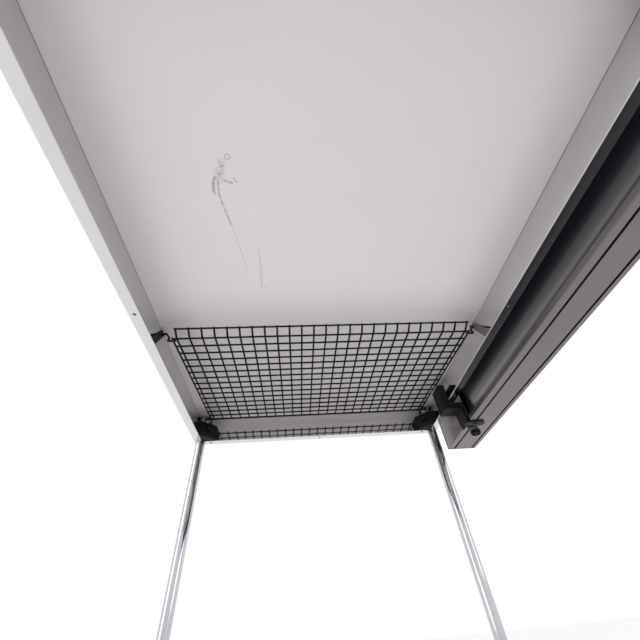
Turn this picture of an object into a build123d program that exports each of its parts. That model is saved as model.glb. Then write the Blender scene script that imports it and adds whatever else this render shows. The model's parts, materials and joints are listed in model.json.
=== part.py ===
from build123d import *
import math
import os

# Open-frame network rack cabinet, 12 U.  Millimetres, +Z up, +Y to the rear, +X to the right.
# Origin: centre of the footprint of the whole object, on the floor.

# ---- driving dimensions ------------------------------------------------------
pan_width = 700.0              # roof and base, outside to outside
pan_depth = 1030.0
rail_height = 75.0             # web of a rail, up to the underside of its panel
sheet = 2.0                    # sheet steel of panels and rails
lip_width = 19.5               # inward lip along the bottom of every rail, web included
roof_lip_z = 657.0             # underside of the roof's lip
base_lip_z = 45.0              # underside of the base's lip
edge_round = 0.9               # rounded inner edge of the side lips
lip_hole_d = 5.5               # M5 clearance holes on the middle line of the lips
rear_hole_x = 306.5            # end holes of the front and rear lips, from the middle

post_d = 25.0                  # chromed steel tube
post_wall = 1.5
post_inset = 15.5              # post axis from the outside of the pan
post_bottom_z = 24.0

block_size = 54.0              # corner block, along both webs
block_cut = 33.0               # its 45 degree face takes this much off the inner corner
block_height = 41.0
block_bore_gap = 0.04          # radial fit of the post in its block
web_screw_inset = 40.0         # from the inner face of the crossing web
web_screw_up = 22.0            # above the underside of the lip
web_screw_r = 2.05
web_hole_r = 2.75
clamp_shift = 3.0              # clamp screw, along the 45 degree face from its middle
clamp_screw_up = 24.0          # clamp screw above the underside of the block

duct_width = 82.0              # side cable duct, an aluminium extrusion
duct_height = 116.0
duct_gap = 23.0                # from the inner face of the right web
duct_bottom_z = 604.0
duct_wall = 4.0
duct_length = 1018.0
duct_lip = 10.0                # the walls left above and below its open side
groove_places = (17.5, 69.5)   # T groove axes from the duct's inner side
groove_mouth = 5.0
groove_inner = 10.0
groove_depth = 7.0
bracket_y = 343.0              # front face of the rear duct bracket
bracket_length = 41.0
front_bracket_y = -456.0
strap_width = 20.0

mesh_pitch = 25.0
mesh_cells_x = 24
mesh_cells_y = 15
mesh_wire = 3.8
tray_front_y = 93.0            # first cross wire
tray_front_z = 683.0
tray_slope = 4.07              # degrees, rear edge higher
lip_slope = 25.0               # degrees, the tray's front lip against the horizontal
lip_reach = 20.5
tray_overhang = 8.0            # cross wires run past the outer depth wires

rack_units = 12
unit_height = 44.45
rack_hole_spacing = 465.1      # between the two columns of square holes
rack_hole = 9.5
upright_y = -513.0             # front face of the 19 inch uprights
upright_face = 36.0
upright_depth = 40.0
upright_screw_r = 3.0
upright_opening = 450.0        # clear width between the uprights

# ---- derived -----------------------------------------------------------------
frame_x = -(duct_gap - sheet + duct_width) / 2     # middle of the pan
pan_x = pan_width / 2
pan_y = pan_depth / 2
web_x = pan_x - sheet                              # inner faces of the webs
web_y = pan_y - sheet
post_x = pan_x - post_inset
post_y = pan_y - post_inset
roof_panel_z = roof_lip_z + rail_height
base_panel_z = base_lip_z + rail_height
lip_mid = pan_x - (lip_width + sheet) / 2          # middle of the lip inside the web
duct_x0 = frame_x + web_x + duct_gap
duct_y = duct_length / 2
post_hole_r = post_d / 2 + 0.5
upright_screw_y = pan_x - lip_mid - pan_y
upright_x = (upright_opening + upright_face) / 2
upright_places = {"upright_left": frame_x - upright_x, "upright_right": frame_x + upright_x}
corner_signs = {"rear_left": (-1, 1), "rear_right": (1, 1),
                "front_left": (-1, -1), "front_right": (1, -1)}

os.makedirs("parts", exist_ok=True)


def save(builder, node):
    builder.part.label = node
    export_step(builder.part, "parts/" + node + ".step")


def level(z):
    return Plane.XY.offset(z)


def bent_wire(points, bend, diameter):
    """A round wire swept along a bent line."""
    with BuildPart(mode=Mode.PRIVATE) as wire:
        with BuildLine() as path:
            FilletPolyline(*points, radius=bend)
        with BuildSketch(Plane(origin=path.line @ 0, z_dir=path.line % 0)):
            Circle(diameter / 2)
        sweep(path=path.line)
    return wire.part


# ---- roof and base: one panel on four rails each ------------------------------
def side_rail(node, side, lip_z):
    with BuildPart() as rail:
        with BuildSketch(Plane.XZ.offset(-pan_y)):
            with Locations((frame_x + side * (pan_x - sheet / 2), lip_z + rail_height / 2)):
                Rectangle(sheet, rail_height)
            with Locations((frame_x + side * (pan_x - lip_width / 2), lip_z + sheet / 2)):
                Rectangle(lip_width, sheet)
        extrude(amount=pan_depth)
        inner_edge = (frame_x + side * (pan_x - lip_width), 0, lip_z)
        fillet(rail.edges().filter_by(Axis.Y).sort_by_distance(inner_edge)[0:2], edge_round)
        with Locations((frame_x + side * lip_mid, 0, lip_z + sheet / 2)):
            Cylinder(lip_hole_d / 2, 2 * sheet, mode=Mode.SUBTRACT)
        for end in (-1, 1):
            with Locations((frame_x + side * post_x, end * post_y, lip_z + sheet / 2)):
                Cylinder(post_hole_r, 2 * sheet, mode=Mode.SUBTRACT)
            screw_y = end * (web_y - web_screw_inset)
            with Locations((frame_x + side * (pan_x - sheet / 2), screw_y, lip_z + web_screw_up)):
                Cylinder(web_hole_r, 3 * sheet, rotation=(0, 90, 0), mode=Mode.SUBTRACT)
    save(rail, node)


def cross_rail(node, end, lip_z):
    length = pan_width - 2 * sheet - 0.2
    with BuildPart() as rail:
        with BuildSketch(Plane.YZ.offset(frame_x - length / 2)):
            with Locations((end * (pan_y - sheet / 2), lip_z + rail_height / 2)):
                Rectangle(sheet, rail_height)
            with Locations((end * (pan_y - lip_width / 2), lip_z + sheet / 2)):
                Rectangle(lip_width, sheet)
        extrude(amount=length)
        for side in (-1, 1):
            # the side rails' lips run through, so this lip stops at their inner edge
            with Locations((frame_x + side * (pan_x - lip_width / 2), end * web_y, lip_z + sheet / 2)):
                Box(lip_width + 0.2, 2 * lip_width, sheet + 0.2, mode=Mode.SUBTRACT)
            with Locations((frame_x + side * post_x, end * post_y, lip_z + sheet / 2)):
                Cylinder(post_hole_r, 2 * sheet, mode=Mode.SUBTRACT)
            screw_x = frame_x + side * (web_x - web_screw_inset)
            with Locations((screw_x, end * (pan_y - sheet / 2), lip_z + web_screw_up)):
                Cylinder(web_hole_r, 3 * sheet, rotation=(90, 0, 0), mode=Mode.SUBTRACT)
        for x in (-rear_hole_x, 0, rear_hole_x):
            with Locations((frame_x + x, end * (lip_mid - pan_x + pan_y), lip_z + sheet / 2)):
                Cylinder(lip_hole_d / 2, 2 * sheet, mode=Mode.SUBTRACT)
        if end < 0 and lip_z == roof_lip_z:
            for x in upright_places.values():
                with Locations((x, upright_screw_y, lip_z + sheet / 2)):
                    Cylinder(upright_screw_r + 0.25, 2 * sheet, mode=Mode.SUBTRACT)
    save(rail, node)


def flat_panel(node, z, with_holes):
    with BuildPart() as panel:
        with BuildSketch(level(z)):
            with Locations((frame_x, 0)):
                RectangleRounded(pan_width, pan_depth, 3)
        extrude(amount=sheet)
        fillet(panel.edges().group_by(Axis.Z)[-1], 0.8)
        if with_holes:
            for side, end in corner_signs.values():
                with Locations((frame_x + side * post_x, end * post_y, z + sheet / 2)):
                    Cylinder(post_hole_r, 2 * sheet, mode=Mode.SUBTRACT)
            for x in upright_places.values():
                with Locations((x, upright_screw_y, z + sheet / 2)):
                    Cylinder(upright_screw_r + 0.25, 2 * sheet, mode=Mode.SUBTRACT)
    save(panel, node)


for prefix, lip_z in (("roof", roof_lip_z), ("base", base_lip_z)):
    flat_panel(prefix + "_panel", lip_z + rail_height, prefix == "base")
    side_rail(prefix + "_rail_left", -1, lip_z)
    side_rail(prefix + "_rail_right", 1, lip_z)
    cross_rail(prefix + "_rail_front", -1, lip_z)
    cross_rail(prefix + "_rail_rear", 1, lip_z)

# ---- corner blocks: nylon, bored for the post, with a 45 degree face -----------
def corner_block(node, side, end, z):
    def at(dx, dy):
        return (frame_x + side * (web_x - dx), end * (web_y - dy))

    inner = block_size - block_cut
    with BuildPart() as block:
        with BuildSketch(level(z)):
            with BuildLine():
                Polyline(at(0.1, 0.1), at(block_size, 0.1), at(block_size, inner),
                         at(inner, block_size), at(0.1, block_size), close=True)
            make_face()
        extrude(amount=block_height)
        fillet(block.edges().filter_by(Axis.Z), 2)
        chamfer(block.edges().group_by(Axis.Z)[-1], 1)
        with Locations((frame_x + side * post_x, end * post_y, z + block_height / 2)):
            Cylinder(post_d / 2 + block_bore_gap, block_height + 1, mode=Mode.SUBTRACT)
        # clamp screw bore, square to the 45 degree face
        mid = (block_size + inner) / 2
        slide = clamp_shift / math.sqrt(2)
        face_point = at(mid - slide, mid + slide)
        face = Plane(origin=(face_point[0], face_point[1], z + clamp_screw_up),
                     z_dir=(side * 1.0, end * 1.0, 0))
        with BuildSketch(face):
            Circle(3.0)
        extrude(amount=16, both=True, mode=Mode.SUBTRACT)
        # pilot holes of the two web screws
        screw_at = at(web_screw_inset, web_screw_inset)
        pilot_z = z - sheet + web_screw_up
        with Locations((frame_x + side * web_x, screw_at[1], pilot_z)):
            Cylinder(web_screw_r + 0.05, 24, rotation=(0, 90, 0), mode=Mode.SUBTRACT)
        with Locations((screw_at[0], end * web_y, pilot_z)):
            Cylinder(web_screw_r + 0.05, 24, rotation=(90, 0, 0), mode=Mode.SUBTRACT)
    save(block, node)


for corner, (side, end) in corner_signs.items():
    corner_block("roof_block_" + corner, side, end, roof_lip_z + sheet)
    corner_block("base_block_" + corner, side, end, base_lip_z + sheet)

# ---- posts, their foot inserts and the levelling feet --------------------------
stud_d = 10.0
stud_top_z = 46.0
insert_length = 30.0
foot_pad_d = 40.0
foot_pad_h = 8.0
swivel_d = 8.0
for corner, (side, end) in corner_signs.items():
    x = frame_x + side * post_x
    y = end * post_y
    post_top_z = roof_panel_z - 1
    with BuildPart() as post:
        with BuildSketch(level(post_bottom_z)):
            with Locations((x, y)):
                Circle(post_d / 2)
                Circle(post_d / 2 - post_wall, mode=Mode.SUBTRACT)
        extrude(amount=post_top_z - post_bottom_z)
    save(post, "post_" + corner)

    with BuildPart() as insert:
        with BuildSketch(level(post_bottom_z)):
            with Locations((x, y)):
                Circle(post_d / 2 - post_wall - 0.02)
                Circle(stud_d / 2 + 0.05, mode=Mode.SUBTRACT)
        extrude(amount=insert_length)
        with BuildSketch(level(post_bottom_z - 3)):
            with Locations((x, y)):
                Circle(post_d / 2)
                Circle(stud_d / 2 + 0.05, mode=Mode.SUBTRACT)
        extrude(amount=3)
    save(insert, "foot_insert_" + corner)

    with BuildPart() as pad:
        with BuildSketch(level(0)):
            with Locations((x, y)):
                Circle(foot_pad_d / 2)
        extrude(amount=foot_pad_h)
        fillet(pad.edges().group_by(Axis.Z)[-1], 3)
        with BuildSketch(level(3)):
            with Locations((x, y)):
                Circle(swivel_d / 2 + 0.06)
        extrude(amount=foot_pad_h, mode=Mode.SUBTRACT)
    save(pad, "foot_pad_" + corner)

    with BuildPart() as stud:
        with BuildSketch(level(3.05)):
            with Locations((x, y)):
                Circle(swivel_d / 2)
        extrude(amount=foot_pad_h - 3.05 + 0.05)
        with BuildSketch(level(foot_pad_h + 0.05)):
            with Locations((x, y)):
                RegularPolygon(8.5, 6, major_radius=False)
        extrude(amount=6)
        with BuildSketch(level(foot_pad_h + 6.05)):
            with Locations((x, y)):
                Circle(stud_d / 2)
        extrude(amount=stud_top_z - foot_pad_h - 6.05)
        chamfer(stud.edges().group_by(Axis.Z)[-1], 1)
    save(stud, "foot_stud_" + corner)

# ---- 19 inch uprights, screwed to the roof's front lip and the base panel --------
upright_z0 = base_panel_z + sheet
upright_length = roof_lip_z - upright_z0
for node, x in upright_places.items():
    side = math.copysign(1, x - frame_x)
    with BuildPart() as upright:
        with BuildSketch(level(upright_z0)):
            with Locations((x, upright_y + sheet / 2)):
                Rectangle(upright_face, sheet)
            with Locations((x + side * (upright_face - sheet) / 2, upright_y + upright_depth / 2)):
                Rectangle(sheet, upright_depth)
        extrude(amount=upright_length)
        for tab_z in (upright_z0, upright_z0 + upright_length - sheet):
            with BuildSketch(level(tab_z)):
                with Locations((x, upright_y + upright_depth / 2)):
                    Rectangle(upright_face, upright_depth)
                with Locations((x, upright_screw_y)):
                    Circle(upright_screw_r + 0.25, mode=Mode.SUBTRACT)
            extrude(amount=sheet)
        spare = (upright_length - rack_units * unit_height) / 2
        hole_z = [upright_z0 + spare + unit_height * unit + step
                  for unit in range(rack_units) for step in (6.35, 22.225, 38.1)]
        with BuildSketch(Plane.XZ.offset(-upright_y - sheet - 1)):
            with Locations(*[(frame_x + side * rack_hole_spacing / 2, z) for z in hole_z]):
                Rectangle(rack_hole, rack_hole)
        extrude(amount=sheet + 2, mode=Mode.SUBTRACT)
    save(upright, node)

# ---- wire mesh tray ------------------------------------------------------------
mesh_width = mesh_cells_x * mesh_pitch
mesh_length = mesh_cells_y * mesh_pitch
slope = math.radians(tray_slope)
lip_angle = math.radians(lip_slope)
tray_plane = Plane(origin=(frame_x, tray_front_y, tray_front_z), x_dir=(1, 0, 0),
                   z_dir=(0, -math.sin(slope), math.cos(slope)))
lip_plane = Plane(origin=(frame_x, tray_front_y, tray_front_z), x_dir=(1, 0, 0),
                  z_dir=(0, math.sin(lip_angle), math.cos(lip_angle)))
hinge_rod = 26.0               # the last cross wire reaches this far past the outer depth wires
hinge_y = tray_front_y + mesh_length * math.cos(slope)
hinge_z = tray_front_z + mesh_length * math.sin(slope)
depth_wires = [(i - mesh_cells_x / 2) * mesh_pitch for i in range(mesh_cells_x + 1)]
with BuildPart() as tray:
    with BuildSketch(tray_plane.offset(-mesh_wire / 2)):
        for x in depth_wires:
            with Locations((x, mesh_length / 2 + 3)):
                Rectangle(mesh_wire, mesh_length + 6)
        for row in range(mesh_cells_y):
            with Locations((0, row * mesh_pitch)):
                Rectangle(mesh_width + 2 * tray_overhang, mesh_wire)
        for side in (-1, 1):
            with Locations((side * (mesh_width / 2 + tray_overhang), mesh_length / 2)):
                Rectangle(mesh_wire, mesh_length + mesh_wire)
    extrude(amount=mesh_wire)
    with BuildSketch(lip_plane.offset(-mesh_wire / 2)):
        for x in depth_wires:
            with Locations((x, -lip_reach / 2)):
                Rectangle(mesh_wire, lip_reach)
        with Locations((0, -lip_reach)):
            Rectangle(mesh_width + mesh_wire, mesh_wire)
    extrude(amount=mesh_wire)
    with Locations((frame_x, hinge_y, hinge_z)):
        Cylinder(mesh_wire / 2, mesh_width + 2 * hinge_rod, rotation=(0, 90, 0))
save(tray, "mesh_tray")

# ---- tray supports: rear loops on the blocks, front hangers on the webs --------
clamp_screw_z = roof_lip_z + sheet + clamp_screw_up
loop_wire = 3.6
loop_width = 19.0              # across, centre line
loop_shift = 7.3               # along the 45 degree face from its middle
loop_bend = 4.5
loop_stand_off = 2.0           # centre line in front of the 45 degree face
loop_low_z = clamp_screw_z - loop_width / 2
loop_high_z = hinge_z + mesh_wire / 2 + loop_wire / 2 + 1.0
block_inner = block_size - block_cut
for node, side in (("tray_loop_left", -1), ("tray_loop_right", 1)):
    face_mid = (block_size + block_inner) / 2
    out = loop_stand_off / math.sqrt(2)
    slide = loop_shift / math.sqrt(2)
    loop_x = frame_x + side * (web_x - face_mid - out + slide)
    loop_y = web_y - face_mid - out - slide
    loop_plane = Plane(origin=(loop_x, loop_y, (loop_low_z + loop_high_z) / 2),
                       x_dir=(side * 1.0, -1.0, 0), z_dir=(side * 1.0, 1.0, 0))
    high = (loop_high_z - loop_low_z) / 2
    wide = loop_width / 2
    with BuildPart() as loop:
        with BuildLine(loop_plane) as loop_line:
            FilletPolyline((wide, high), (-wide, high), (-wide, -high), (wide, -high),
                           radius=loop_bend, close=True)
        with BuildSketch(Plane(origin=loop_line.line @ 0, z_dir=loop_line.line % 0)):
            Circle(loop_wire / 2)
        sweep(path=loop_line.line)
    save(loop, node)

hanger_wire = 4.5
for node, side in (("tray_hanger_left", -1), ("tray_hanger_right", 1)):
    arm_points = [(frame_x + side * (web_x - 1.2), 124, 722), (frame_x + side * 337, 120, 722),
                  (frame_x + side * 315.5, 96, 688), (frame_x + side * 315.5, 94, 677),
                  (frame_x + side * 299, 93, 677)]
    with BuildPart() as hanger:
        with BuildSketch(Plane.YZ.offset(frame_x + side * (web_x - 1) - 0.9)):
            with BuildLine():
                Polyline((117, 730), (134, 730), (103, 672), (82, 672), close=True)
            make_face()
        extrude(amount=1.8)
        add(bent_wire(arm_points, 3.5, hanger_wire))
    save(hanger, node)

# ---- side cable duct -------------------------------------------------------------
stop_y = bracket_y + strap_width + 9
knob_d = 25.0
knob_shank_r = 3.0
knob_x = duct_x0 + 40
knob_y = stop_y + 34
with BuildPart() as duct:
    with BuildSketch(Plane.XZ.offset(-duct_y)):
        with Locations((duct_x0 + duct_width / 2, duct_bottom_z + duct_height / 2)):
            RectangleRounded(duct_width, duct_height, 2)
            Rectangle(duct_width - 2 * duct_wall, duct_height - 2 * duct_wall, mode=Mode.SUBTRACT)
            with Locations((-duct_width / 2, 0)):
                Rectangle(4 * duct_wall, duct_height - 2 * duct_lip, mode=Mode.SUBTRACT)
        for x in groove_places:
            with Locations((duct_x0 + x, duct_bottom_z + (groove_depth + 2) / 2)):
                Rectangle(groove_inner + 4, groove_depth + 2)
            with Locations((duct_x0 + x, duct_bottom_z + 2 + (groove_depth - 2) / 2)):
                Rectangle(groove_inner, groove_depth - 2, mode=Mode.SUBTRACT)
            with Locations((duct_x0 + x, duct_bottom_z + 1)):
                Rectangle(groove_mouth, 4, mode=Mode.SUBTRACT)
    extrude(amount=duct_length)
    with Locations((knob_x, knob_y, duct_bottom_z + duct_wall / 2)):
        Cylinder(knob_shank_r + 0.05, 2 * duct_wall, mode=Mode.SUBTRACT)
save(duct, "duct_body")

cover_low = duct_bottom_z + duct_lip + 0.2
cover_high = duct_bottom_z + duct_height - duct_lip - 0.2
cover_dish = 12.0
cover_sheet = 2.2
cover_y0 = front_bracket_y + bracket_length + 0.5      # the cover lies between the two brackets
cover_y1 = bracket_y - 0.5
cover_x = duct_x0 + 0.4
cover_mid = (cover_low + cover_high) / 2
with BuildPart() as cover:
    with BuildSketch(Plane.XZ.offset(-cover_y1)):
        with BuildLine():
            ThreePointArc((cover_x, cover_low), (cover_x + cover_dish, cover_mid), (cover_x, cover_high))
            Line((cover_x, cover_high), (cover_x + cover_sheet, cover_high))
            ThreePointArc((cover_x + cover_sheet, cover_high), (cover_x + cover_dish + cover_sheet, cover_mid),
                          (cover_x + cover_sheet, cover_low))
            Line((cover_x + cover_sheet, cover_low), (cover_x, cover_low))
        make_face()
    extrude(amount=cover_y1 - cover_y0)
save(cover, "duct_cover")

for name, end in (("rear", 1), ("front", -1)):
    plate_y0, plate_y1 = (cover_y1 + 0.5, duct_y - 0.3) if end > 0 else (0.3 - duct_y, cover_y0 - 0.5)
    with BuildPart() as plate:
        with BuildSketch(Plane.YZ.offset(cover_x)):
            with Locations(((plate_y0 + plate_y1) / 2, cover_mid)):
                Rectangle(plate_y1 - plate_y0, cover_high - cover_low)
        extrude(amount=2)
    save(plate, "duct_end_plate_" + name)

    cap_y = end * (duct_y + 0.1)
    with BuildPart() as cap:
        with BuildSketch(Plane.XZ.offset(-cap_y)):
            with Locations((duct_x0 + duct_width / 2, duct_bottom_z + duct_height / 2)):
                RectangleRounded(duct_width, duct_height, 2)
        extrude(amount=-end * 3)
        with BuildSketch(Plane.XZ.offset(-cap_y)):
            with Locations((duct_x0 + duct_width / 2 + 4, duct_bottom_z + duct_height / 2 + 4)):
                Rectangle(duct_width - 26, duct_height - 34)
                Rectangle(duct_width - 32, duct_height - 40, mode=Mode.SUBTRACT)
        extrude(amount=end * 8)
    save(cap, "duct_end_cap_" + name)

# ---- duct brackets: a jaw over the roof's lip, an arm out and a strap under the duct ----
jaw_x0 = frame_x + 320
jaw_x1 = frame_x + 340
jaw_top_z = roof_lip_z + 55
jaw_over_z = roof_lip_z + sheet + 0.05     # the jaw bears on the lip from above
jaw_under_z = roof_lip_z - 0.05            # and the arm passes under it
slot_x = jaw_x0 + 10.3
arm_low_z = 640.0
arm_x = duct_x0 - 0.1
strap_z = duct_bottom_z - 4
for name, end in (("rear", 1), ("front", -1)):
    near_y = bracket_y if end > 0 else front_bracket_y
    with BuildPart() as bracket:
        with BuildSketch(Plane.XZ.offset(-near_y - bracket_length)):
            with BuildLine():
                Polyline((jaw_x0, jaw_top_z), (jaw_x1, jaw_top_z), (jaw_x1, jaw_over_z), (slot_x, jaw_over_z),
                         (slot_x, jaw_under_z), (arm_x, jaw_under_z), (arm_x, strap_z), (arm_x - 4.4, strap_z),
                         (arm_x - 8.9, arm_low_z), (jaw_x0, arm_low_z), close=True)
            make_face()
        extrude(amount=bracket_length)
        fillet(bracket.edges().filter_by(Axis.Y).group_by(Axis.Z)[-1], 3)
        with BuildSketch(level(strap_z)):
            with Locations((duct_x0 + 16, near_y + strap_width / 2)):
                SlotOverall(52, strap_width)
        extrude(amount=3.9)
        with Locations((duct_x0 + groove_places[0], near_y + strap_width / 2, duct_bottom_z - 2)):
            Cylinder(2.75, 12, mode=Mode.SUBTRACT)
    save(bracket, "duct_bracket_" + name)

    screw_y = near_y + strap_width / 2
    groove_x = duct_x0 + groove_places[0]
    with BuildPart() as screw:
        with BuildSketch(level(duct_bottom_z - 4.05)):
            with Locations((groove_x, screw_y)):
                Circle(4.75)
        extrude(amount=-2.8)
        fillet(screw.edges().group_by(Axis.Z)[0], 1.6)
        with BuildSketch(level(duct_bottom_z - 6.9)):
            with Locations((groove_x, screw_y)):
                RegularPolygon(1.5, 6, major_radius=False)
        extrude(amount=1.6, mode=Mode.SUBTRACT)
        with BuildSketch(level(duct_bottom_z - 4.05)):
            with Locations((groove_x, screw_y)):
                Circle(2.5)
        extrude(amount=8.5)
    save(screw, "bracket_screw_" + name)

    with BuildPart() as nut:
        with BuildSketch(level(duct_bottom_z + 2.1)):
            with Locations((groove_x, screw_y)):
                Rectangle(groove_inner - 0.6, 16)
                Circle(2.5, mode=Mode.SUBTRACT)
        extrude(amount=4)
    save(nut, "slot_nut_" + name)

# ---- things under the rear end of the duct: groove stop and thumb screw ------------
with BuildPart() as stop:
    with BuildSketch(level(duct_bottom_z - 0.05)):
        with Locations((duct_x0 + groove_places[0], stop_y)):
            SlotOverall(26, 10)
    extrude(amount=-4)
    with BuildSketch(level(duct_bottom_z - 0.05)):
        with Locations((duct_x0 + groove_places[0], stop_y)):
            Rectangle(groove_mouth - 0.4, 9)
    extrude(amount=5)
save(stop, "groove_stop")

with BuildPart() as knob:
    with BuildSketch(level(duct_bottom_z - 0.1)):
        with Locations((knob_x, knob_y)):
            Circle(knob_d / 2)
    extrude(amount=-7)
    fillet(knob.edges().group_by(Axis.Z)[0], 1.5)
    with BuildSketch(level(duct_bottom_z - 7.1)):
        with Locations((knob_x, knob_y)):
            Circle(knob_d / 2 - 3.5)
            Circle(4.5, mode=Mode.SUBTRACT)
    extrude(amount=3, mode=Mode.SUBTRACT)
    with BuildSketch(level(duct_bottom_z - 0.1)):
        with Locations((knob_x, knob_y)):
            Circle(knob_shank_r)
    extrude(amount=12)
save(knob, "duct_thumb_screw")

# ---- fasteners, each kind one group of separate solids ------------------------------
def socket_screw(head_r, head_h, shank_r, shank_l):
    """A screw on the Z axis: its head ends at the origin and its shank runs down."""
    with BuildPart() as screw:
        with BuildSketch(level(-head_h)):
            Circle(head_r)
        extrude(amount=head_h)
        fillet(screw.edges().group_by(Axis.Z)[-1], head_h * 0.4)
        with BuildSketch(level(-head_h - shank_l)):
            Circle(shank_r)
        extrude(amount=shank_l)
        with BuildSketch(level(-head_h * 0.6)):
            RegularPolygon(shank_r * 0.6, 6, major_radius=False)
        extrude(amount=head_h, mode=Mode.SUBTRACT)
    return screw.part


def group_of(solids, node):
    group = Compound(label=node, children=solids)
    export_step(group, "parts/" + node + ".step")


web_head_h = 1.8
web_screw = socket_screw(4.5, web_head_h, web_screw_r, 12)
clamp_screw = socket_screw(5.0, 5.0, 2.9, 8)
upright_screw = socket_screw(5.0, 4.0, upright_screw_r, 10)
web_places = []
clamp_places = []
for lip_z in (roof_lip_z, base_lip_z):
    for side, end in corner_signs.values():
        screw_z = lip_z + web_screw_up
        side_origin = (frame_x + side * (pan_x + web_head_h), end * (web_y - web_screw_inset), screw_z)
        end_origin = (frame_x + side * (web_x - web_screw_inset), end * (pan_y + web_head_h), screw_z)
        web_places.append(Plane(origin=side_origin, z_dir=(side, 0, 0)))
        web_places.append(Plane(origin=end_origin, z_dir=(0, end, 0)))
        face_mid = (block_size + block_inner) / 2
        slide = clamp_shift / math.sqrt(2)
        over_loop = loop_wire / 2 + loop_stand_off + 0.1 if lip_z == roof_lip_z and end > 0 else 0
        out = (5.05 + over_loop) / math.sqrt(2)
        clamp_x = frame_x + side * (web_x - face_mid - out + slide)
        clamp_y = end * (web_y - face_mid - out - slide)
        clamp_places.append(Plane(origin=(clamp_x, clamp_y, lip_z + sheet + clamp_screw_up),
                                  z_dir=(-side, -end, 0)))
upright_screw_places = []
for x in upright_places.values():
    upright_screw_places.append(Plane(origin=(x, upright_screw_y, upright_z0 + sheet + 4), z_dir=(0, 0, 1)))
    upright_screw_places.append(Plane(origin=(x, upright_screw_y, roof_lip_z - sheet - 4), z_dir=(0, 0, -1)))
group_of([web_screw.moved(place.location) for place in web_places], "web_screws")
group_of([clamp_screw.moved(place.location) for place in clamp_places], "clamp_screws")
group_of([upright_screw.moved(place.location) for place in upright_screw_places], "upright_screws")

with BuildPart() as nut:
    with BuildSketch():
        RegularPolygon(5.0, 6, major_radius=False)
        Circle(upright_screw_r + 0.02, mode=Mode.SUBTRACT)
    extrude(amount=4.8)
nut_places = []
for x in upright_places.values():
    nut_places.append(Plane(origin=(x, upright_screw_y, base_panel_z - 4.85)))
    nut_places.append(Plane(origin=(x, upright_screw_y, roof_lip_z + sheet + 0.05)))
group_of([nut.part.moved(place.location) for place in nut_places], "upright_nuts")
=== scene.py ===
import json
import math
import bmesh
import bpy
from mathutils import Matrix, Vector


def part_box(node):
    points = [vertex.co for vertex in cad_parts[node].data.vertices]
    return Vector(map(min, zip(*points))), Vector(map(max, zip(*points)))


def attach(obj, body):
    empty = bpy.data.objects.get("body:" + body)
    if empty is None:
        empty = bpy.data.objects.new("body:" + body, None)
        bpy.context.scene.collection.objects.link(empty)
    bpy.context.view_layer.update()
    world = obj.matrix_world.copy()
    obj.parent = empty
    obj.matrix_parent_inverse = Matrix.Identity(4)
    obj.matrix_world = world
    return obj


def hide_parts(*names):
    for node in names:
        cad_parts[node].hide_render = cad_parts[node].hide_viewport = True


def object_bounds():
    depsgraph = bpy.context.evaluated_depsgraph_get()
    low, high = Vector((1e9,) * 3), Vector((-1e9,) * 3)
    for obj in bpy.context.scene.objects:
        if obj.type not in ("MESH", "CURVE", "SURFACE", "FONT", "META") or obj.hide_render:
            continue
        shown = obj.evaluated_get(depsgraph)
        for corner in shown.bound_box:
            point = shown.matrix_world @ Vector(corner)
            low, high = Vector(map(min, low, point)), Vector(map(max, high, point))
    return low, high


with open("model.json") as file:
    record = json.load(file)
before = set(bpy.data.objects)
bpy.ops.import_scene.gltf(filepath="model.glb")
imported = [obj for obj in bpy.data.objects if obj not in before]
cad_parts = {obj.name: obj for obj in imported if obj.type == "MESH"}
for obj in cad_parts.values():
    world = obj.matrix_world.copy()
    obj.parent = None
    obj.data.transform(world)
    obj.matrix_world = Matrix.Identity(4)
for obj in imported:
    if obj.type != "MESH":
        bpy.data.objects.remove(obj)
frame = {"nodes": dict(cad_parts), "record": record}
cad_low, cad_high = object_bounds()
nodes = frame["nodes"]
slot_of = {s["node"]: s["material_slot"] for s in frame["record"]["subparts"]}
MM = 0.001

# ---- places the materials and pieces are worked out from -----------------------------
panel_low, panel_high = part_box("roof_panel")
frame_x = (panel_low.x + panel_high.x) / 2
under_z = panel_low.z                          # underside of the roof panel
lip_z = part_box("roof_rail_left")[0].z
base_under_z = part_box("base_panel")[0].z
base_lip_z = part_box("base_rail_left")[0].z

# ---- colours and numbers of the materials ---------------------------------------------
PANEL_COLOUR = (0.76, 0.735, 0.727)
MARK_AND_SHADOW_COLOUR = (0.13, 0.105, 0.085)
RAIL_COLOUR = (0.73, 0.72, 0.73)
# painted shade along the tops of the webs, where they meet the panels
SEAM_SHADE_COLOUR = (0.03, 0.03, 0.03)
# painted shade inside the lips' holes
HOLE_SHADE_COLOUR = (0.01, 0.01, 0.01)
# painted reflection on the right hanger's strap, dark and light
STRAP_REFLECTION_DARK = (0.16, 0.135, 0.12)
STRAP_REFLECTION_LIGHT = (0.26, 0.235, 0.22)
WEB_ROUGH = 0.09
LIP_TOP = 0.0025               # the webs start this far above the underside of their lip
FLAT = 0.52                    # Pointiness of a flat surface, with a little to spare
WEAR_GAIN = 6.0
GRIT_GAIN = 4.0
LIP_HOLE_R = 0.00275
# the screw holes of the lips, from the middle of the roof or base, the same in all four quarters
LIP_HOLES = [(0.33925, 0.0), (0.0, 0.50425), (0.3065, 0.50425)]
STRAP_FROM = 0.3445            # the right hanger's strap starts this far from the middle
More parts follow.
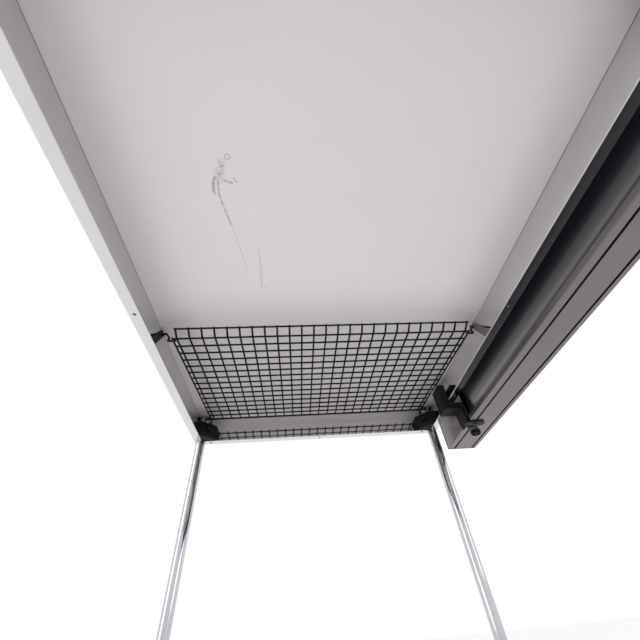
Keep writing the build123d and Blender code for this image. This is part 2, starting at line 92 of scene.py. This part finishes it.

# rub marks of the roof's underside, and two painted shadows: points in mm from its middle, width,
# strength, breakup, wobble
RUB_MARKS_AND_SHADOWS = [
    ([(-164, -225), (-170, -213), (-174, -200)], 0.0085, 0.9, 0.43, 0.004),
    ([(-178, -205), (-182, -194), (-183, -181)], 0.0030, 0.95, 0.33, 0.0015),
    ([(-174, -200), (-176, -180), (-173, -162), (-165, -128)], 0.0024, 0.75, 0.33, 0.0008),
    ([(-165, -128), (-157, -83), (-151, -55), (-151, -30)], 0.0012, 0.45, 0.36, 0.0006),
    ([(-167, -201), (-155, -198)], 0.0032, 0.85, 0.38, 0.003),
    ([(-150, -204), (-146, -197)], 0.0022, 0.8, 0.38, 0.001),
    ([(-125, -80), (-124, -30), (-127, 8)], 0.0018, 0.55, 0.36, 0.0006),
    ([(-120, 0), (-120, 8)], 0.0015, 0.4, 0.38, 0.0006),
    ([(-218, -137), (-212, -131)], 0.002, 0.3, 0.4, 0.001),
    ([(-126, -25), (-126, 2)], 0.0028, 0.5, 0.4, 0.001),
    ([(201, -218), (222, -232)], 0.0010, 0.4, 0.36, 0.0005),
    # two broad, faint painted shadows beside the hangers, with no breakup
    ([(296, 88), (330, 96)], 0.028, 0.1, -1.0, 0.0015),
    ([(-300, 92), (-332, 98)], 0.024, 0.08, -1.0, 0.0015),
]
# the ring left by a fixing: centre in mm, radius, width, strength
RING_MARK = ((-155, -234), 0.0036, 0.0013, 0.55)


# ---- shader helpers ------------------------------------------------------------
def new_material(name):
    """A Principled material, its node tree, its shader and object coordinates."""
    mat = bpy.data.materials.new(name)
    mat.use_nodes = True
    tree = mat.node_tree
    shader = tree.nodes["Principled BSDF"]
    place = tree.nodes.new("ShaderNodeTexCoord").outputs["Object"]
    return mat, tree, shader, place


def noise(tree, place, scale, detail=4.0, rough=0.55, stretch=(1, 1, 1)):
    mapping = tree.nodes.new("ShaderNodeMapping")
    mapping.inputs["Scale"].default_value = stretch
    tree.links.new(place, mapping.inputs["Vector"])
    tex = tree.nodes.new("ShaderNodeTexNoise")
    tex.inputs["Scale"].default_value = scale
    tex.inputs["Detail"].default_value = detail
    tex.inputs["Roughness"].default_value = rough
    tree.links.new(mapping.outputs["Vector"], tex.inputs["Vector"])
    return tex.outputs["Fac"]


def ramp(tree, fac, stops):
    node = tree.nodes.new("ShaderNodeValToRGB")
    elements = node.color_ramp.elements
    while len(elements) < len(stops):
        elements.new(0.5)
    for element, (at, colour) in zip(elements, stops):
        element.position = at
        element.color = (*colour, 1.0)
    tree.links.new(fac, node.inputs["Fac"])
    return node.outputs["Color"]


def grey(value):
    return (value, value, value)


def tinted(colour, factor, lift=0.0):
    """The colour times a factor, with some grey added, kept at or below 1."""
    return tuple(min(1.0, c * factor + lift) for c in colour)


def feed(tree, socket, value):
    """Links a socket, or sets its number or colour."""
    if isinstance(value, bpy.types.NodeSocket):
        tree.links.new(value, socket)
    elif isinstance(value, tuple):
        socket.default_value = (*value, 1.0)
    else:
        socket.default_value = value


def mix(tree, fac, a, b):
    node = tree.nodes.new("ShaderNodeMix")
    node.data_type = "RGBA"
    feed(tree, node.inputs["Factor"], fac)
    feed(tree, node.inputs[6], a)
    feed(tree, node.inputs[7], b)
    return node.outputs[2]


def math_node(tree, operation, a, b=0.0, clamp=False):
    node = tree.nodes.new("ShaderNodeMath")
    node.operation = operation
    node.use_clamp = clamp
    feed(tree, node.inputs[0], a)
    feed(tree, node.inputs[1], b)
    return node.outputs[0]


def times(tree, a, b, clamp=False):
    return math_node(tree, "MULTIPLY", a, b, clamp)


def minus(tree, a, b, clamp=False):
    return math_node(tree, "SUBTRACT", a, b, clamp)


def distance(tree, dx, dy):
    """The length of (dx, dy)."""
    return math_node(tree, "SQRT", math_node(tree, "ADD", times(tree, dx, dx), times(tree, dy, dy)))


def split_xyz(tree, vector):
    node = tree.nodes.new("ShaderNodeSeparateXYZ")
    tree.links.new(vector, node.inputs[0])
    return node.outputs


def fade(tree, away, width):
    """1 where away is 0, falling to 0 where it reaches width."""
    return minus(tree, 1.0, math_node(tree, "DIVIDE", away, width), clamp=True)


def zone(tree, place, axis, edge, soft):
    """0 below edge along an axis, 1 above it, in metres."""
    above = minus(tree, split_xyz(tree, place)[axis], edge)
    return math_node(tree, "ADD", math_node(tree, "DIVIDE", above, soft), 0.5, clamp=True)


def bump(tree, shader, height, strength, depth):
    node = tree.nodes.new("ShaderNodeBump")
    node.inputs["Strength"].default_value = strength
    node.inputs["Distance"].default_value = depth
    tree.links.new(height, node.inputs["Height"])
    tree.links.new(node.outputs["Normal"], shader.inputs["Normal"])


def paint_over(mat, fac, colour):
    """Mixes a colour over a material's own where fac is 1."""
    tree = mat.node_tree
    socket = tree.nodes["Principled BSDF"].inputs["Base Color"]
    tree.links.new(mix(tree, fac, socket.links[0].from_socket, colour), socket)


def edge_wear(tree):
    """0 on flat and hollow surfaces, up to 1 along sharp outer edges."""
    pointy = tree.nodes.new("ShaderNodeNewGeometry").outputs["Pointiness"]
    return times(tree, minus(tree, pointy, FLAT), WEAR_GAIN, clamp=True)


# ---- kinds of material ----------------------------------------------------------
def coated(name, colour, rough, spread=0.05, grain=900.0, coat=0.0, grain_bump=0.12, shine=0.5):
    """Paint, powder coat or moulded plastic: fine grain, faint clouding and lighter edges."""
    mat, tree, shader, place = new_material(name)
    cloud = noise(tree, place, 3.5, 5.0)
    base = ramp(tree, cloud, [(0.3, tinted(colour, 1 - spread)), (0.7, tinted(colour, 1 + spread))])
    worn = tinted(colour, 1.25, 0.02)
    tree.links.new(mix(tree, edge_wear(tree), base, worn), shader.inputs["Base Color"])
    patches = noise(tree, place, 14.0, 6.0)
    rough_stops = [(0.3, grey(rough * 0.88)), (0.7, grey(min(1, rough * 1.12)))]
    tree.links.new(ramp(tree, patches, rough_stops), shader.inputs["Roughness"])
    shader.inputs["Metallic"].default_value = 0.0
    shader.inputs["Specular IOR Level"].default_value = shine
    shader.inputs["Coat Weight"].default_value = coat
    shader.inputs["Coat Roughness"].default_value = 0.08
    bump(tree, shader, noise(tree, place, grain, 2.0), grain_bump, 0.0004)
    return mat


def brushed(name, colour, rough, along):
    """Metal with fine drawing lines along one axis."""
    mat, tree, shader, place = new_material(name)
    stretch = [1.0, 1.0, 1.0]
    stretch["XYZ".index(along)] = 0.02
    lines = noise(tree, place, 700.0, 3.0, 0.6, tuple(stretch))
    dark = tinted(colour, 0.88)
    light = tinted(colour, 1.1)
    cloud = ramp(tree, noise(tree, place, 6.0, 4.0), [(0.3, dark), (0.75, light)])
    streaks = ramp(tree, lines, [(0.3, dark), (0.7, light)])
    tree.links.new(mix(tree, 0.35, cloud, streaks), shader.inputs["Base Color"])
    shader.inputs["Metallic"].default_value = 1.0
    rough_stops = [(0.25, grey(rough * 0.8)), (0.75, grey(rough * 1.25))]
    tree.links.new(ramp(tree, lines, rough_stops), shader.inputs["Roughness"])
    bump(tree, shader, lines, 0.08, 0.0002)
    return mat


# ---- the marked enamel of the panels -----------------------------------------------
def spot(x, y):
    """A place on the roof from millimetres off its middle."""
    return (frame_x + x * MM, y * MM)


def stroke(tree, place, points, width, strength, breakup, wobble):
    """A rub mark or painted shadow along a line of (x, y) points: strength on the line, 0 beside it."""
    shift = tree.nodes.new("ShaderNodeTexNoise")
    shift.inputs["Scale"].default_value = 60.0
    shift.inputs["Detail"].default_value = 4.0
    tree.links.new(place, shift.inputs["Vector"])
    centred = tree.nodes.new("ShaderNodeVectorMath")
    centred.operation = "SUBTRACT"
    centred.inputs[1].default_value = (0.5, 0.5, 0.5)
    tree.links.new(shift.outputs["Color"], centred.inputs[0])
    moved = tree.nodes.new("ShaderNodeVectorMath")
    moved.operation = "MULTIPLY_ADD"
    moved.inputs[1].default_value = (wobble * 2, wobble * 2, 0)
    tree.links.new(centred.outputs[0], moved.inputs[0])
    tree.links.new(place, moved.inputs[2])
    at = split_xyz(tree, moved.outputs[0])
    nearest = None
    for (x0, y0), (x1, y1) in zip(points, points[1:]):
        length = math.hypot(x1 - x0, y1 - y0)
        ux = (x1 - x0) / length
        uy = (y1 - y0) / length
        dx = minus(tree, at[0], x0)
        dy = minus(tree, at[1], y0)
        along = math_node(tree, "ADD", times(tree, dx, ux), times(tree, dy, uy))
        across = minus(tree, times(tree, dx, uy), times(tree, dy, ux))
        off_middle = math_node(tree, "ABSOLUTE", minus(tree, along, length / 2))
        past_end = math_node(tree, "MAXIMUM", minus(tree, off_middle, length / 2), 0.0)
        here = distance(tree, across, past_end)
        nearest = here if nearest is None else math_node(tree, "MINIMUM", nearest, here)
    core = fade(tree, nearest, width)
    grit = times(tree, minus(tree, noise(tree, place, 420.0, 5.0, 0.7), breakup), GRIT_GAIN, clamp=True)
    return times(tree, times(tree, core, grit), strength)


def ring(tree, place, centre, radius, width, strength):
    at = split_xyz(tree, place)
    away = distance(tree, minus(tree, at[0], centre[0]), minus(tree, at[1], centre[1]))
    off = math_node(tree, "ABSOLUTE", minus(tree, away, radius))
    return times(tree, fade(tree, off, width), strength)


def panel_paint():
    """Light enamel with the rub marks and scratches of the roof's underside, and two painted shadows
    beside the hangers.
    """
    mat = coated("panel_enamel", PANEL_COLOUR, 0.42, 0.015, 1500.0, coat=0.12)
    tree = mat.node_tree
    place = tree.nodes.new("ShaderNodeTexCoord").outputs["Object"]
    marks_and_shadows = [stroke(tree, place, [spot(*point) for point in points], *rest)
             for points, *rest in RUB_MARKS_AND_SHADOWS]
    centre, *rest = RING_MARK
    marks_and_shadows.append(ring(tree, place, spot(*centre), *rest))
    total = marks_and_shadows[0]
    for mark_or_shadow in marks_and_shadows[1:]:
        total = math_node(tree, "MAXIMUM", total, mark_or_shadow)
    below_top = minus(tree, 1.0, zone(tree, place, 2, under_z + 0.001, 0.0004))
    underside = times(tree, below_top, zone(tree, place, 2, under_z - 0.01, 0.001))
    paint_over(mat, times(tree, total, underside), MARK_AND_SHADOW_COLOUR)
    return mat


# ---- the polished sheet of the rails and the paint of the hangers --------------------
def polished_rail():
    """Stainless sheet: mirror bright lips, softer webs, and a painted shade line along the top of each
    web where the panel meets it.
    """
    mat, tree, shader, place = new_material("rail_steel")
    lines = noise(tree, place, 900.0, 3.0, 0.6, (1.0, 0.02, 0.02))
    cloud = noise(tree, place, 7.0, 4.0)
    smudge = noise(tree, place, 38.0, 6.0, 0.7)
    colour = ramp(tree, cloud, [(0.3, tinted(RAIL_COLOUR, 0.97)), (0.7, RAIL_COLOUR)])
    webs = []
    for low_z, top_z in ((lip_z, under_z), (base_lip_z, base_under_z)):
        below_panel = minus(tree, 1.0, zone(tree, place, 2, top_z + 0.001, 0.0005))
        web = times(tree, zone(tree, place, 2, low_z + LIP_TOP, 0.0005), below_panel)
        # painted shade: a dark line along the top of each web, just under the panel
        seam_shade = times(tree, zone(tree, place, 2, top_z - 0.0011, 0.0006), web)
        colour = mix(tree, times(tree, seam_shade, 0.85), colour, SEAM_SHADE_COLOUR)
        webs.append(web)
    at = split_xyz(tree, place)
    off_x = math_node(tree, "ABSOLUTE", minus(tree, at[0], frame_x))
    off_y = math_node(tree, "ABSOLUTE", at[1])
    # painted shade: each lip hole and a thin ring round it are coloured near black
    for hole_x, hole_y in LIP_HOLES:
        away = distance(tree, minus(tree, off_x, hole_x), minus(tree, off_y, hole_y))
        inside = minus(tree, LIP_HOLE_R + 0.0005, away)
        colour = mix(tree, math_node(tree, "DIVIDE", inside, 0.0004, clamp=True), colour, HOLE_SHADE_COLOUR)
    tree.links.new(colour, shader.inputs["Base Color"])
    shader.inputs["Metallic"].default_value = 1.0
    on_lip = ramp(tree, smudge, [(0.3, grey(0.035)), (0.75, grey(0.1))])
    on_web = ramp(tree, smudge, [(0.3, grey(WEB_ROUGH * 0.8)), (0.75, grey(WEB_ROUGH * 1.2))])
    web_here = math_node(tree, "MAXIMUM", *webs)
    tree.links.new(mix(tree, web_here, on_lip, on_web), shader.inputs["Roughness"])
    bump(tree, shader, lines, 0.02, 0.0001)
    return mat


def hanger_paint():
    """Black powder coat, with a brownish painted reflection over the right strap."""
    mat = coated("hanger_paint", (0.006, 0.0075, 0.0065), 0.45, 0.25, 900.0, grain_bump=0.2, shine=0.2)
    tree = mat.node_tree
    place = tree.nodes.new("ShaderNodeTexCoord").outputs["Object"]
    # painted reflection: the right strap's black is mixed over with a brownish tone
    strap = zone(tree, place, 0, frame_x + STRAP_FROM, 0.0005)
    strap_reflection = ramp(tree, noise(tree, place, 90.0, 4.0), [(0.3, STRAP_REFLECTION_DARK), (0.7, STRAP_REFLECTION_LIGHT)])
    paint_over(mat, times(tree, strap, 0.9), strap_reflection)
    return mat


materials = {
    "panel_enamel": panel_paint(),
    "rail_steel": polished_rail(),
    "black_nylon": coated("black_nylon", (0.005, 0.005, 0.006), 0.55, 0.25, 600.0,
                          grain_bump=0.3, shine=0.14),
    "post_chrome": brushed("post_chrome", (0.56, 0.57, 0.6), 0.08, "Z"),
    "foot_rubber": coated("foot_rubber", (0.02, 0.02, 0.02), 0.75, 0.2, 400.0, grain_bump=0.4),
    "zinc_steel": brushed("zinc_steel", (0.6, 0.61, 0.63), 0.25, "Z"),
    "upright_zinc": brushed("upright_zinc", (0.58, 0.59, 0.61), 0.3, "Z"),
    "black_wire": coated("black_wire", (0.003, 0.003, 0.0035), 0.5, 0.25, 900.0,
                         grain_bump=0.2, shine=0.12),
    "duct_anodised": brushed("duct_anodised", (0.215, 0.19, 0.205), 0.36, "Y"),
    "gloss_black": coated("gloss_black", (0.003, 0.0045, 0.010), 0.2, 0.25, 60.0,
                          coat=0.3, grain_bump=0.01, shine=0.4),
    "black_steel": coated("black_steel", (0.004, 0.004, 0.0045), 0.5, 0.25, 1000.0,
                          grain_bump=0.25, shine=0.14),
    "screw_steel": brushed("screw_steel", (0.05, 0.05, 0.055), 0.35, "Z"),
}
hanger_mat = hanger_paint()
for name, obj in nodes.items():
    obj.data.materials.clear()
    obj.data.materials.append(hanger_mat if name.startswith("tray_hanger") else materials[slot_of[name]])

# ---- the wire tray: round wires welded one over the other ---------------------------------
PITCH = 0.025
CELLS_X = 24
CELLS_Y = 15
WIRE_R = 0.00195
EDGE_R = 0.0019                # the two outer edge wires
ROD_R = 0.0021                 # the rod along the rear
CAD_WIRE_R = 0.0019            # half of the CAD tray's square wire
SINK = 0.0008                  # how far crossing wires are welded into each other
TRAY_SLOPE = math.radians(4.07)
LIP_SLOPE = math.radians(25.0)
LIP_REACH = 0.0205
OVERHANG = 0.008               # the cross wires run this far past the outer depth wires
DEPTH_OVERRUN = 0.006          # the depth wires run this far past the rear rod
LIP_OVERRUN = 0.0012           # and this far past the lip's cross wire
BEND = 0.004                   # they bend within this distance of the front cross wire
BEND_RISE = 0.0003             # and rise this much over it
EDGE_OVERRUN = 0.0015
EDGE_MIDDLE = 0.19
LIP_WIRE_OVERRUN = 0.0015
ROD_REACH = 0.026              # the rod's ends past the outer depth wires
ROD_OVER = -0.0002
WIRE_SIDES = 10
DOME = 0.25                    # a cut end is domed by this part of its radius
DOME_SCALE = 0.7

mesh_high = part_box("mesh_tray")[1]
half_width = CELLS_X * PITCH / 2
tray_length = CELLS_Y * PITCH
rear_z = mesh_high.z - CAD_WIRE_R - (DEPTH_OVERRUN - CAD_WIRE_R) * math.sin(TRAY_SLOPE)
rear_y = mesh_high.y - DEPTH_OVERRUN * math.cos(TRAY_SLOPE)
front_y = rear_y - tray_length * math.cos(TRAY_SLOPE)
front_z = rear_z - tray_length * math.sin(TRAY_SLOPE)


def tray_point(x, along, over):
    """A point of the tray: along it from its front cross wire, and over its middle plane."""
    return Vector((frame_x + x,
                   front_y + along * math.cos(TRAY_SLOPE) - over * math.sin(TRAY_SLOPE),
                   front_z + along * math.sin(TRAY_SLOPE) + over * math.cos(TRAY_SLOPE)))


def lip_point(x, out, over):
    """A point of the tray's front lip: out from its front cross wire, and over its middle plane."""
    return Vector((frame_x + x,
                   front_y - out * math.cos(LIP_SLOPE) + over * math.sin(LIP_SLOPE),
                   front_z + out * math.sin(LIP_SLOPE) + over * math.cos(LIP_SLOPE)))


def add_wire(mesh, points, radius):
    """A round wire along a line of points, with slightly domed cut ends."""
    last = len(points) - 1
    tangents = [(points[min(i + 1, last)] - points[max(i - 1, 0)]).normalized() for i in range(last + 1)]
    first_end = points[0] - tangents[0] * radius * DOME
    last_end = points[-1] + tangents[-1] * radius * DOME
    stations = [(first_end, tangents[0], DOME_SCALE)]
    stations += [(point, tangent, 1.0) for point, tangent in zip(points, tangents)]
    stations += [(last_end, tangents[-1], DOME_SCALE)]
    angles = [2 * math.pi * k / WIRE_SIDES for k in range(WIRE_SIDES)]
    side = tangents[0].orthogonal().normalized()
    rings = []
    for point, tangent, scale in stations:
        side = (side - tangent * side.dot(tangent)).normalized()
        other = tangent.cross(side)
        rings.append([mesh.verts.new(point + (side * math.cos(a) + other * math.sin(a)) * radius * scale)
                      for a in angles])
    for here, there in zip(rings, rings[1:]):
        for k in range(WIRE_SIDES):
            beside = (k + 1) % WIRE_SIDES
            mesh.faces.new((here[k], here[beside], there[beside], there[k]))
    mesh.faces.new(list(reversed(rings[0])))
    mesh.faces.new(rings[-1])


def wires(name, lines, radius):
    """Round wires in one mesh."""
    mesh = bmesh.new()
    for points in lines:
        add_wire(mesh, points, radius)
    bmesh.ops.recalc_face_normals(mesh, faces=mesh.faces)
    data = bpy.data.meshes.new(name)
    mesh.to_mesh(data)
    mesh.free()
    for face in data.polygons:
        face.use_smooth = len(face.vertices) == 4
    data.materials.append(materials["black_wire"])
    obj = bpy.data.objects.new(name, data)
    bpy.context.scene.collection.objects.link(obj)
    return obj


over = WIRE_R - SINK
outer_x = half_width + OVERHANG
lip_wire_x = half_width + LIP_WIRE_OVERRUN
rod_x = half_width + ROD_REACH
columns = [(i - CELLS_X / 2) * PITCH for i in range(CELLS_X + 1)]
depth_lines = [[lip_point(x, LIP_REACH + LIP_OVERRUN, over),
                lip_point(x, BEND, over),
                tray_point(x, 0.0, over + BEND_RISE),
                tray_point(x, BEND, over),
                tray_point(x, tray_length / 2, over),
                tray_point(x, tray_length + DEPTH_OVERRUN, over)] for x in columns]
cross_lines = [[tray_point(x, row * PITCH, -over) for x in (-outer_x, 0, outer_x)]
               for row in range(CELLS_Y)]
cross_lines.append([lip_point(x, LIP_REACH, -over) for x in (-lip_wire_x, lip_wire_x)])
edge_lines = [[tray_point(side * outer_x, along, 0)
               for along in (-EDGE_OVERRUN, EDGE_MIDDLE, tray_length + EDGE_OVERRUN)] for side in (-1, 1)]
rod_line = [tray_point(x, tray_length, ROD_OVER) for x in (-rod_x, 0, rod_x)]
tray_pieces = [
    wires("tray_depth_wires", depth_lines, WIRE_R),
    wires("tray_cross_wires", cross_lines, WIRE_R),
    wires("tray_edge_wires", edge_lines, EDGE_R),
    wires("tray_rear_rod", [rod_line], ROD_R),
]
for piece in tray_pieces:
    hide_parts("mesh_tray")
    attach(piece, "tray")

# ---- floor, light, camera --------------------------------------------------------
FLOOR_SIZE = 60
FLOOR_GAP = 0.0005             # the floor lies this far below the feet
LIGHT_AIM = (0, 0.1, 0.6)
LIGHT_SIZE = 2.0
CAMERA_DROP = 0.4258           # below the roof's lip
CAMERA_SIDE = -0.065           # from the middle of the frame
CAMERA_BACK = 0.1138           # behind the front edge of the roof
CAMERA_FORWARD = (0.0790, 0.70467, 0.70513)
CAMERA_RIGHT = (0.99662, -0.03993, -0.07176)
SENSOR_WIDTH = 36.0            # millimetres, like the lens
LENS = 18.29
CLIP_START = 0.01

bpy.ops.mesh.primitive_plane_add(size=FLOOR_SIZE, location=(0, 0, cad_low[2] - FLOOR_GAP))
floor = bpy.context.object
floor.name = "floor"
floor_mat, floor_tree, floor_shader, floor_place = new_material("floor_paper")
floor_cloud = noise(floor_tree, floor_place, 0.8, 3.0)
floor_colour = ramp(floor_tree, floor_cloud, [(0.3, grey(0.93)), (0.7, grey(0.97))])
floor_tree.links.new(floor_colour, floor_shader.inputs["Base Color"])
floor_shader.inputs["Roughness"].default_value = 0.9
floor.data.materials.append(floor_mat)

world = bpy.data.worlds.new("studio")
bpy.context.scene.world = world
world.use_nodes = True
sky = world.node_tree.nodes["Background"]
sky.inputs["Color"].default_value = (1.0, 1.0, 1.0, 1.0)
sky.inputs["Strength"].default_value = 1.0


def soft_light(name, at, watts):
    light = bpy.data.lights.new(name, "AREA")
    light.size = LIGHT_SIZE
    light.energy = watts
    obj = bpy.data.objects.new(name, light)
    bpy.context.scene.collection.objects.link(obj)
    obj.location = at
    obj.visible_camera = False
    obj.rotation_euler = (Vector(LIGHT_AIM) - Vector(at)).to_track_quat("-Z", "Y").to_euler()


soft_light("fill_left", (-3.0, -1.5, 1.2), 14)
soft_light("fill_right", (3.0, -2.0, 1.6), 12)

photo_camera = bpy.data.cameras.new("photo_view")
photo_camera.sensor_width = SENSOR_WIDTH
photo_camera.lens = LENS
photo_camera.clip_start = CLIP_START
camera = bpy.data.objects.new("photo_view", photo_camera)
bpy.context.scene.collection.objects.link(camera)
camera_at = Vector((frame_x + CAMERA_SIDE, panel_low.y + CAMERA_BACK, lip_z - CAMERA_DROP))
forward = Vector(CAMERA_FORWARD).normalized()
right = Vector(CAMERA_RIGHT).normalized()
right = (right - forward * right.dot(forward)).normalized()
up = right.cross(forward)
turn = Matrix((right, up, -forward)).transposed().to_4x4()
camera.matrix_world = Matrix.Translation(camera_at) @ turn
bpy.context.scene.camera = camera
bpy.context.scene.view_settings.view_transform = "Standard"
